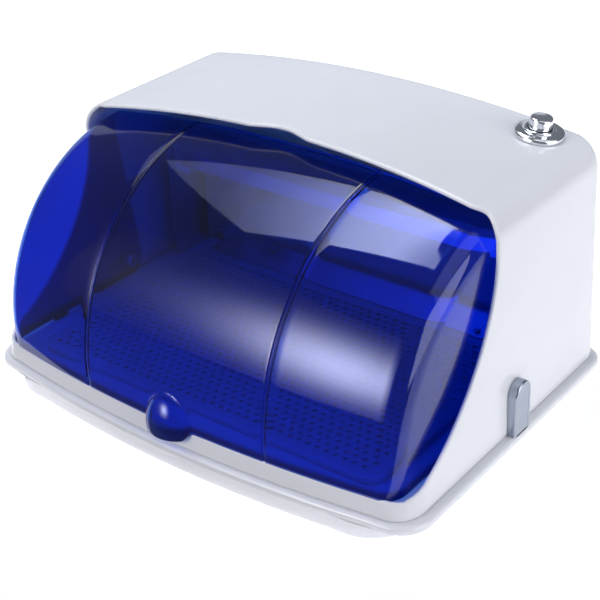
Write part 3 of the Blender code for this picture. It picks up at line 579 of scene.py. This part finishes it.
def hood_row(x, height, normal, start, ridge, follow_corner):
    """One line of the hood from the rim back, over the ridge and onto the back wall."""
    length = math.hypot(*normal)
    normal = (normal[0] / length, normal[1] / length)
    stop = HOOD_BACK - ridge
    points = []
    for step in range(19):
        y = start + (stop - start) * (step / 18) ** 1.5      # closer together at the rim
        side = side_x(y, height) if follow_corner else x
        points.append((side, y, height))
    for step in range(1, 8):
        angle = math.radians(90 * step / 7)
        inset = ridge * (1 - math.cos(angle))
        points.append((x - normal[0] * inset, stop + ridge * math.sin(angle),
                       height - normal[1] * inset))
    last = points[-1]
    for step in range(1, 5):
        points.append((last[0] * (1 - step / 4), last[1], last[2]))
    return [(px, py - BACK_DRAFT * (pz - HOOD_FOOT) * max(0.0, (py - BACK_START) / BACK_RUN), pz)
            for px, py, pz in points]


def sill_row(height, mouth_y, wall_points):
    """A line of the sill from its middle round the corner, then the wall to the back."""
    centre_x, centre_y = corner_centre(height)
    front = HOOD_FRONT + SILL_LEAN * (height - HOOD_FOOT)
    points = [(centre_x * step / 20, front + BOW * (centre_x * step / 20) ** 2, height)
              for step in range(21)]
    top_x, top_y = corner_centre(SILL_TOP)
    stop = math.degrees(math.asin(max(-1.0, (mouth_y - top_y) / FRONT_CORNER)))
    for step in range(8):
        angle = math.radians(-FRONT_TURN + (stop + FRONT_TURN) * step / 8)
        points.append((centre_x + FRONT_CORNER * math.cos(angle),
                       centre_y + FRONT_CORNER * math.sin(angle), height))
    return points + wall_points


def make_hood(material):
    rows = profile_rows()
    form = bmesh.new()
    upper = [hood_row(*row, row[1] < RIM_FOOT_Z) for row in rows]
    add_grid(form, upper)
    lower = []
    mouth_y = rows[0][3]
    for height in (SILL_TOP, 0.0285, 0.0250, HOOD_FOOT + WALL / 2):
        start = mouth_y - SILL_LEAN * (SILL_TOP - height)
        wall_points = hood_row(wall_at(height), height, (1.0, DRAFT), start, BACK_ROUND, True)
        lower.append(sill_row(height, mouth_y, wall_points))
    add_grid(form, lower)
    bmesh.ops.remove_doubles(form, verts=form.verts[:], dist=0.00005)
    mirror_form(form)
    thicken(form, WALL, 6)
    hood = from_form("hood_shell", form, material, 50.0)
    axis = switch_frame()
    bore(hood, axis @ Vector((0, 0, -0.02)), axis @ Vector((0, 0, 0.02)), SWITCH_HOLE)
    bore(hood, (GLAND_X, 0.110, GLAND_Z), (GLAND_X, 0.150, GLAND_Z), GLAND_HOLE)
    bore(hood, (-0.2, PIVOT.y, PIVOT.z), (0.2, PIVOT.y, PIVOT.z), PIN_HOLE)
    for x in (-CASE_SCREW_X, CASE_SCREW_X):
        bore(hood, (x, 0.115, CASE_SCREW_Z), (x, 0.150, CASE_SCREW_Z), CASE_SCREW_HOLE)
    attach(hood, "root")
    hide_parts("housing")


def switch_frame():
    """The switch's axis stands square on the sloping top."""
    slope = math.atan(2 * CROWN * SWITCH_X)
    place = (SWITCH_X, SWITCH_Y, HOOD_TOP - CROWN * SWITCH_X * SWITCH_X)
    return Matrix.Translation(place) @ Matrix.Rotation(slope, 4, "Y")


# ---- base ----------------------------------------------------------------------------------------
def plan_ring(half, front, back, front_round, back_round, height):
    """Closed outline of the base with its bowed front, as points at one height."""
    bow_end = half - front_round
    right = [(bow_end * step / 16, front + BOW * (bow_end * step / 16) ** 2)
             for step in range(16)]
    turn = math.radians(FRONT_TURN)
    centre = (bow_end, front + BOW * bow_end ** 2 + front_round * math.sin(turn))
    for step in range(13):
        angle = math.radians(-FRONT_TURN + FRONT_TURN * step / 12)
        right.append((centre[0] + front_round * math.cos(angle),
                      centre[1] + front_round * math.sin(angle)))
    centre = (half - back_round, back - back_round)
    for step in range(11):
        angle = math.radians(90 * step / 10)
        right.append((centre[0] + back_round * math.cos(angle),
                      centre[1] + back_round * math.sin(angle)))
    right.append((0.0, back))
    left = [(-x, y) for x, y in reversed(right) if x > 1e-6]
    return [(x, y, height) for x, y in right + left]


def inset_ring(plan, inset, height):
    """A plan outline drawn in on every side."""
    half, front, back, front_round, back_round = plan
    return plan_ring(half - inset, front + inset, back - inset,
                     front_round - inset * 0.5, back_round - inset * 0.5, height)


def tub_ring(inset, height):
    """A line round the tub, which leans in a little towards its bottom."""
    lean = TUB_LEAN * (FLANGE_TOP - height) / (FLANGE_TOP - UNDERSIDE)
    return [(x * (1 - lean), y * (1 - lean / 2), z)
            for x, y, z in inset_ring(TUB_PLAN, inset, height)]


def base_rings():
    """Rings from the inside floor up, over the flange and down to the underside."""
    bevel_foot = UPSTAND_TOP - UPSTAND_BEVEL
    rings = [inset_ring(CAVITY_PLAN, 0.0, CAVITY_FLOOR), inset_ring(CAVITY_PLAN, 0.0, bevel_foot),
             inset_ring(CAVITY_PLAN, -UPSTAND_BEVEL, UPSTAND_TOP),
             inset_ring(UPSTAND_PLAN, UPSTAND_BEVEL, UPSTAND_TOP),
             inset_ring(UPSTAND_PLAN, 0.0, bevel_foot), inset_ring(UPSTAND_PLAN, 0.0, FLANGE_TOP)]
    inwards, upwards = FLANGE_ROUND
    for step in range(8):
        angle = math.radians(90 - 90 * step / 7)
        rings.append(inset_ring(FLANGE_PLAN, inwards * (1 - math.cos(angle)),
                                FLANGE_TOP - upwards + upwards * math.sin(angle)))
    for step in range(5):
        angle = math.radians(-22.5 * step)
        rings.append(inset_ring(FLANGE_PLAN, FLANGE_LIP * (1 - math.cos(angle)),
                                FLANGE_LIP_Z + FLANGE_LIP * math.sin(angle)))
    rings.append(tub_ring(-0.0002, TUB_TOP + 0.0004))
    rings.append(tub_ring(0.0, TUB_TOP))
    rings.append(tub_ring(0.0, TUB_MIDDLE))
    for step in range(6):
        angle = math.radians(18 * step)
        rings.append(tub_ring(TUB_ROUND * (1 - math.cos(angle)),
                              UNDERSIDE + TUB_ROUND - TUB_ROUND * math.sin(angle)))
    return rings


def make_base(material):
    form = bmesh.new()
    add_rings(form, base_rings())
    for side in (-1, 1):
        post = bmesh.ops.create_cube(form, size=1.0)["verts"]
        bmesh.ops.scale(form, vec=POST_SIZE, verts=post)
        bmesh.ops.translate(form, vec=(side * POST_X, POST_Y, POST_Z), verts=post)
    base = from_form("base_shell", form, material, 40.0)
    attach(base, "root")
    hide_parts("base_tray")


# ---- lid -----------------------------------------------------------------------------------------
def lid_columns():
    """(x, radius) from the middle to the right panel's ear, with the groove pressed in."""
    scoop_end, groove_start, groove_end = 0.027, 0.0735, 0.0785
    columns = [(0.0013 * step, 0.0) for step in range(21)]
    columns += [(scoop_end + (groove_start - scoop_end) * step / 9, 0.0) for step in range(1, 10)]
    columns += [(GROOVE_X + offset, depth) for offset, depth in GROOVE_SECTION]
    columns += [(groove_end + (LID_FLAT - groove_end) * step / 14, 0.0) for step in range(1, 15)]
    points = [(x, LID_RADIUS - CROWN * x * x - depth) for x, depth in columns]
    corner = LID_HALF - LID_FLAT
    centre = points[-1][1] - corner
    for step in range(1, 13):
        angle = math.radians(LID_CORNER_TURN * (1 - step / 12))
        points.append((LID_FLAT + corner * math.cos(angle), centre + corner * math.sin(angle)))
    for share in (0.85, 0.6, 0.4, 0.22, 0.1, 0.0):
        points.append((LID_HALF, EAR_RADIUS + (centre - EAR_RADIUS) * share))
    return points


def scoop_edge(x):
    """Height of the lid's bottom edge: it dips where the finger scoop hangs over the sill."""
    dip = 1.0 - min(1.0, max(0.0, (abs(x) - SCOOP_DIP_HALF) / SCOOP_DIP_FADE))
    return LID_EDGE - SCOOP_DIP * smooth(dip)


def scoop_swell(x, height):
    """How far the finger scoop stands out of the barrel."""
    reach = (x / SCOOP_HALF_X) ** 2 + ((height - SCOOP_Z) / SCOOP_HALF_Z) ** 2
    if reach < 1:
        rise = SCOOP_REACH * (1 - reach) ** 0.55 - SCOOP_SINK
    else:
        rise = -SCOOP_SINK - SCOOP_FALL * (reach - 1)
    if rise <= -0.02:        # the blend's tail is too thin to matter
        return 0.0
    return 0.5 * (rise + math.hypot(rise, SCOOP_BLEND))


def rear_angle(radius):
    """Where a line of the lid ends behind the pivot."""
    return math.acos(max(-1.0, -REAR_REACH / radius)) - math.radians(REAR_TURN)


def lid_angles(low, high):
    """Angles round the pivot, closer together over the finger scoop."""
    fine = [step / 26 * 0.15 for step in range(26)]
    coarse = [0.15 + step / 44 * 0.85 for step in range(45)]
    return [low + (high - low) * share for share in fine + coarse]


def lid_line(x, radius):
    """One line of the lid at a column, from the bottom edge up and back to the rear edge."""
    low = max(-math.pi / 2, math.asin(max(-1.0, (scoop_edge(x) - PIVOT.z) / radius)))
    points = []
    for angle in lid_angles(low, rear_angle(radius)):
        height = PIVOT.z + radius * math.sin(angle)
        swells = abs(x) < SCOOP_SPAN and angle < SCOOP_ANGLE
        swell = scoop_swell(x, height) if swells else 0.0
        points.append((x, PIVOT.y - radius * math.cos(angle) - swell, height))
    return points


def make_lid(material):
    form = bmesh.new()
    add_grid(form, [lid_line(x, radius) for x, radius in lid_columns()])
    high = rear_angle(EAR_RADIUS)
    angles = lid_angles(-math.pi / 2, high)
    angles += [high + (1.5 * math.pi - high) * step / 12 for step in range(1, 13)]
    add_grid(form, [[(LID_HALF, PIVOT.y - radius * math.cos(angle),
                      PIVOT.z + radius * math.sin(angle)) for angle in angles]
                    for radius in (EAR_RADIUS, EAR_MIDDLE, EAR_HOLE)])
    bmesh.ops.remove_doubles(form, verts=form.verts[:], dist=0.00002)
    mirror_form(form)
    thicken(form, LID_WALL, 5)
    lid = from_form("lid_shell", form, material, 40.0)
    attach(lid, "lid")
    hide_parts("lid")


# ---- tray ----------------------------------------------------------------------------------------
def tray_outline(inset):
    """The tray's rounded rectangle, drawn in by an inset."""
    low_x, low_y = TRAY_LOW[0] + inset, TRAY_LOW[1] + inset
    high_x, high_y = TRAY_HIGH[0] - inset, TRAY_HIGH[1] - inset
    radius = TRAY_CORNER - inset
    points = []
    for centre_x, centre_y, start in ((high_x - radius, low_y + radius, -90),
                                      (high_x - radius, high_y - radius, 0),
                                      (low_x + radius, high_y - radius, 90),
                                      (low_x + radius, low_y + radius, 180)):
        for step in range(9):
            angle = math.radians(start + 90 * step / 8)
            points.append((centre_x + radius * math.cos(angle),
                           centre_y + radius * math.sin(angle)))
    return points


def tray_holes():
    """Outlines of staggered round holes."""
    angles = [math.tau * step / 10 for step in range(10)]
    holes = []
    row = 0
    y = TRAY_LOW[1] + HOLE_MARGIN
    while y < TRAY_HIGH[1] - HOLE_MARGIN:
        x = TRAY_LOW[0] + HOLE_MARGIN + (HOLE_PITCH / 2 if row % 2 else 0.0)
        while x < TRAY_HIGH[0] - HOLE_MARGIN:
            holes.append([(x + HOLE_RADIUS * math.cos(angle), y + HOLE_RADIUS * math.sin(angle))
                          for angle in angles])
            x += HOLE_PITCH
        y += HOLE_PITCH * math.sqrt(3) / 2
        row += 1
    return holes


def closed_row(ring, height):
    return [(x, y, height) for x, y in ring + ring[:1]]


def make_tray(material):
    """Perforated sheet with rounded, turned-down edges."""
    rim = tray_outline(TRAY_ROUND)
    loops = [rim] + tray_holes()
    points, borders, owner = [], [], []
    for number, loop in enumerate(loops):
        start = len(points)
        points += [Vector(point) for point in loop]
        owner += [number] * len(loop)
        borders.append(list(range(start, len(points))))
    edges = [(loop[i], loop[(i + 1) % len(loop)]) for loop in borders for i in range(len(loop))]
    flat, _, faces, sources, _, _ = delaunay_2d_cdt(points, edges, [], 1, 1e-7)
    form = bmesh.new()
    top = [form.verts.new((point.x, point.y, TRAY_HIGH[2])) for point in flat]
    for face in faces:
        owners = {owner[sources[index][0]] for index in face}
        if len(owners) > 1 or 0 in owners:      # a face within one hole is left out
            form.faces.new([top[index] for index in face])
    rows = [closed_row(rim, TRAY_HIGH[2])]
    for step in range(1, 5):
        angle = math.radians(22.5 * step)
        ring = tray_outline(TRAY_ROUND * (1 - math.sin(angle)))
        rows.append(closed_row(ring, TRAY_HIGH[2] - TRAY_ROUND * (1 - math.cos(angle))))
    rows.append(closed_row(tray_outline(0.0), TRAY_LOW[2] + TRAY_SHEET / 2))
    add_grid(form, rows)
    thicken(form, TRAY_SHEET, 2)
    tray = from_form("tray_sheet", form, material, 40.0)
    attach(tray, "tray")
    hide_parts("perforated_tray")


# ---- switch and hinge plates ---------------------------------------------------------------------
def make_switch(chrome):
    axis = switch_frame()
    bezel = rounded([(0.0083, 0.0003), (0.0083, 0.0052), (0.0104, 0.0052), (0.0112, 0.0040),
                     (0.0150, 0.0038), (0.0166, 0.0031), (0.0171, 0.0018), (0.0171, 0.0003),
                     (0.0083, 0.0003)], 0.0006)
    ring = turned("switch_bezel_ring", bezel, axis, chrome, 96)
    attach(ring, "root")
    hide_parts("switch_bezel")
    cap = rounded([(0.0, 0.0130), (0.0078, 0.0126), (0.0078, 0.0045), (0.0048, 0.0045),
                   (0.0048, -0.0030), (0.0, -0.0030)], 0.0016, 6)
    button = turned("button_cap", cap, axis, chrome, 72)
    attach(button, "power_button")
    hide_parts("power_button")


def plate_outline(low, high, inset):
    """Arched outline of a hinge plate as (y, z)."""
    middle, reach = (low[1] + high[1]) / 2, (high[1] - low[1]) / 2 - inset
    shoulder = high[2] - (high[1] - low[1]) / 2
    heights = [low[2] + (shoulder - low[2]) * step / 6 for step in range(1, 6)]
    points = [(middle - reach, low[2]), (middle + reach, low[2])]
    points += [(middle + reach, z) for z in heights]
    points += [(middle + reach * math.cos(math.pi * step / 24),
                shoulder + reach * math.sin(math.pi * step / 24)) for step in range(25)]
    points += [(middle - reach, z) for z in reversed(heights)]
    return points


def make_plates(chrome):
    """Hinge plates: a flat face inside a proud, rounded border."""
    border = ((0.0, 0.0016), (0.0001, 0.0009), (0.0005, 0.0003), (0.0011, 0.0), (0.0019, 0.0),
              (0.0023, 0.0004), (0.0027, 0.0004))
    for side, sign in (("left", -1), ("right", 1)):
        low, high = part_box("hinge_plate_" + side)
        face = max(abs(low[0]), abs(high[0]))
        rings = [[(sign * (wall_at(z) + PLATE_GAP), y, z)
                  for y, z in plate_outline(low, high, 0.0)]]
        rings += [[(sign * (face - depth), y, z) for y, z in plate_outline(low, high, inset)]
                  for inset, depth in border]
        form = bmesh.new()
        add_rings(form, rings)
        # the plates wear the darker, bluer copy of chrome, whose colour is painted shade
        plate = from_form("hinge_cover_" + side, form, chrome, 30.0)
        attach(plate, "root")
        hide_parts("hinge_plate_" + side)


# ---- studio --------------------------------------------------------------------------------------
def make_camera():
    yaw, pitch = math.radians(CAMERA_YAW), math.radians(CAMERA_PITCH)
    roll = math.radians(CAMERA_ROLL)
    forward = Vector((-math.sin(yaw) * math.cos(pitch), math.cos(yaw) * math.cos(pitch),
                      -math.sin(pitch)))
    right = Vector((math.cos(yaw), math.sin(yaw), 0.0))
    upward = right.cross(forward)
    side = right * math.cos(roll) + upward * math.sin(roll)
    top = upward * math.cos(roll) - right * math.sin(roll)
    data = bpy.data.cameras.new("studio_camera")
    data.lens = CAMERA_LENS
    data.sensor_width = 36.0
    camera = bpy.data.objects.new("studio_camera", data)
    camera.matrix_world = Matrix((
        (side.x, top.x, -forward.x, CAMERA_PLACE[0]),
        (side.y, top.y, -forward.y, CAMERA_PLACE[1]),
        (side.z, top.z, -forward.z, CAMERA_PLACE[2]),
        (0.0, 0.0, 0.0, 1.0)))
    bpy.context.scene.collection.objects.link(camera)
    bpy.context.scene.camera = camera


def softbox(name, place, target, width, height, radiance, colour):
    """A rectangular lamp whose face shines with the given radiance."""
    data = bpy.data.lights.new(name, "AREA")
    data.shape = "RECTANGLE"
    data.size = width
    data.size_y = height
    data.energy = radiance * math.pi * width * height
    data.color = colour
    lamp = bpy.data.objects.new(name, data)
    aim = (Vector(target) - Vector(place)).to_track_quat("-Z", "Y").to_matrix().to_4x4()
    lamp.matrix_world = Matrix.Translation(place) @ aim
    bpy.context.scene.collection.objects.link(lamp)


def background(tree, colour, strength):
    node = tree.nodes.new("ShaderNodeBackground")
    node.inputs["Color"].default_value = (*colour, 1.0)
    node.inputs["Strength"].default_value = strength
    return node.outputs[0]


def make_light():
    """A dim room that is seen as white, two soft lamps and three shining sheets."""
    world = bpy.data.worlds.new("studio")
    world.use_nodes = True
    bpy.context.scene.world = world
    tree = world.node_tree
    tree.nodes.clear()
    output = tree.nodes.new("ShaderNodeOutputWorld")
    path = tree.nodes.new("ShaderNodeLightPath")
    mix = tree.nodes.new("ShaderNodeMixShader")
    room = background(tree, (0.80, 0.86, 1.0), 0.20)
    seen = background(tree, (1.0, 1.0, 1.0), 1.0)
    tree.links.new(path.outputs["Is Camera Ray"], mix.inputs[0])
    tree.links.new(room, mix.inputs[1])
    tree.links.new(seen, mix.inputs[2])
    tree.links.new(mix.outputs[0], output.inputs["Surface"])
    softbox("overhead_right", (0.75, 0.25, 1.60), (0.0, 0.05, 0.10), 1.4, 1.4, 0.7,
            (0.95, 0.97, 1.0))
    softbox("right_side", (2.0, 0.1, 0.75), (0.0, 0.0, 0.10), 1.6, 1.5, 2.8, (1.0, 0.99, 0.98))
    overhead_card()
    glow_card()
    room_card()


def card(name, corners, strength, colour, steps):
    """A shining sheet between four corners; strength maps a node tree to its radiance."""
    made = Nodes(name)
    made.tree.nodes.remove(made.shader)
    glow = made.add("ShaderNodeEmission")
    glow.inputs["Color"].default_value = (*colour, 1.0)
    made.join(strength(made), glow.inputs["Strength"])
    made.join(glow.outputs[0], made.output.inputs["Surface"])
    a, b, c, d = (Vector(corner) for corner in corners)
    form = bmesh.new()
    rows = []
    for row in range(steps + 1):
        v = row / steps
        left, right = a.lerp(d, v), b.lerp(c, v)
        rows.append([left.lerp(right, column / steps) for column in range(steps + 1)])
    add_grid(form, rows)
    sheet = from_form(name, form, made.material)
    sheet.visible_camera = False


def overhead_card():
    """Skewed soft light over the left, brighter towards the middle."""
    stops = [(0.00, 0.7), (0.34, 1.0), (0.50, 2.0), (0.66, 3.8), (0.80, 7.5), (0.90, 8.5),
             (1.00, 3.5)]
    left, right = -1.30, -0.12

    def strength(made):
        across = made.remap(made.axis("X"), left, right)
        shades = made.ramp(across, [(place, (value / 10,) * 3) for place, value in stops])
        return made.maths("MULTIPLY", shades, 10.0)
    plan = ((left, 0.35), (-0.26, 0.87), (right, -0.08), (-0.76, -0.42))
    card("overhead", [(x, y, CARD_HEIGHT) for x, y in plan], strength, (0.90, 0.94, 1.0), 12)


def glow_card():
    """A soft glow in front, fading away to the left; a bright core in a wide faint one."""
    across = Vector((0.95, -0.31, 0.0)).normalized()
    upward = Vector((0.11, 0.32, 0.94)).normalized()

    def blob(made, centre, spread, level):
        away = made.vector("SUBTRACT", made.place(), tuple(centre))
        squash = made.vector("MULTIPLY", away, (1 / spread[0], 0.0, 1 / spread[1]))
        length = made.vector("DOT_PRODUCT", squash, squash, output="Value")
        glow = made.maths("EXPONENT", made.maths("MULTIPLY", length, -0.5))
        return made.maths("MULTIPLY_ADD", glow, level, GLOW_BASE)

    def strength(made):
        core = blob(made, GLOW_PLACE, (0.36, 0.36), 11.0)
        wide = blob(made, GLOW_PLACE - across * 0.45, (0.62, 0.40), 0.9)
        return made.maths("ADD", core, wide)
    card("front_glow", [GLOW_PLACE + across * u + upward * v
                        for u, v in ((-2.0, 1.2), (1.2, 1.2), (1.2, -0.95), (-2.0, -0.95))],
         strength, (1.0, 0.98, 0.97), 8)


def room_card():
    """The dim far wall of the room behind and to the left."""
    def strength(made):
        level = made.add("ShaderNodeValue")
        level.outputs[0].default_value = 0.7
        return level.outputs[0]
    card("far_wall", ((-3.60, 0.30, 1.75), (-1.10, 3.40, 1.75), (-1.10, 3.40, 0.20),
                      (-3.60, 0.30, 0.20)), strength, (0.86, 0.90, 1.0), 2)


def make_floor():
    """White floor that shines a little itself."""
    made = Nodes("studio_floor")
    made.join(made.ramp(made.noise(0.6, 2.0, 0.5), [(0.0, (0.88, 0.88, 0.885)),
                                                     (1.0, (0.90, 0.90, 0.905))]),
              made.shader.inputs["Base Color"])
    made.set(Roughness=0.7, Emission_Color=(1.0, 1.0, 1.0, 1.0), Emission_Strength=0.42)
    form = bmesh.new()
    bmesh.ops.create_grid(form, x_segments=8, y_segments=8, size=FLOOR_HALF)
    bmesh.ops.translate(form, vec=(0.0, FLOOR_Y, -0.0002), verts=form.verts[:])
    floor = from_form("studio_floor", form, made.material)


# ---- everything ----------------------------------------------------------------------------------
def dress_nodes(materials):
    """Give every CAD node that stays the finish of its slot."""
    for entry in frame["record"]["subparts"]:
        node = frame["nodes"].get(entry["node"])
        if node is None:
            continue
        for index in range(len(node.material_slots)):
            node.material_slots[index].link = "OBJECT"
            node.material_slots[index].material = materials[entry["material_slot"]]


def main():
    materials = make_materials()
    make_camera()
    make_light()
    make_floor()
    dress_nodes(materials)
    make_hood(materials["white_plastic"])
    make_base(materials["white_plastic"])
    make_lid(materials["blue_acrylic"])
    make_tray(materials["tray_steel"])
    make_switch(materials["chrome"])
    make_plates(materials["shaded_satin_chrome"])
    bpy.context.scene.view_settings.view_transform = "Standard"


main()
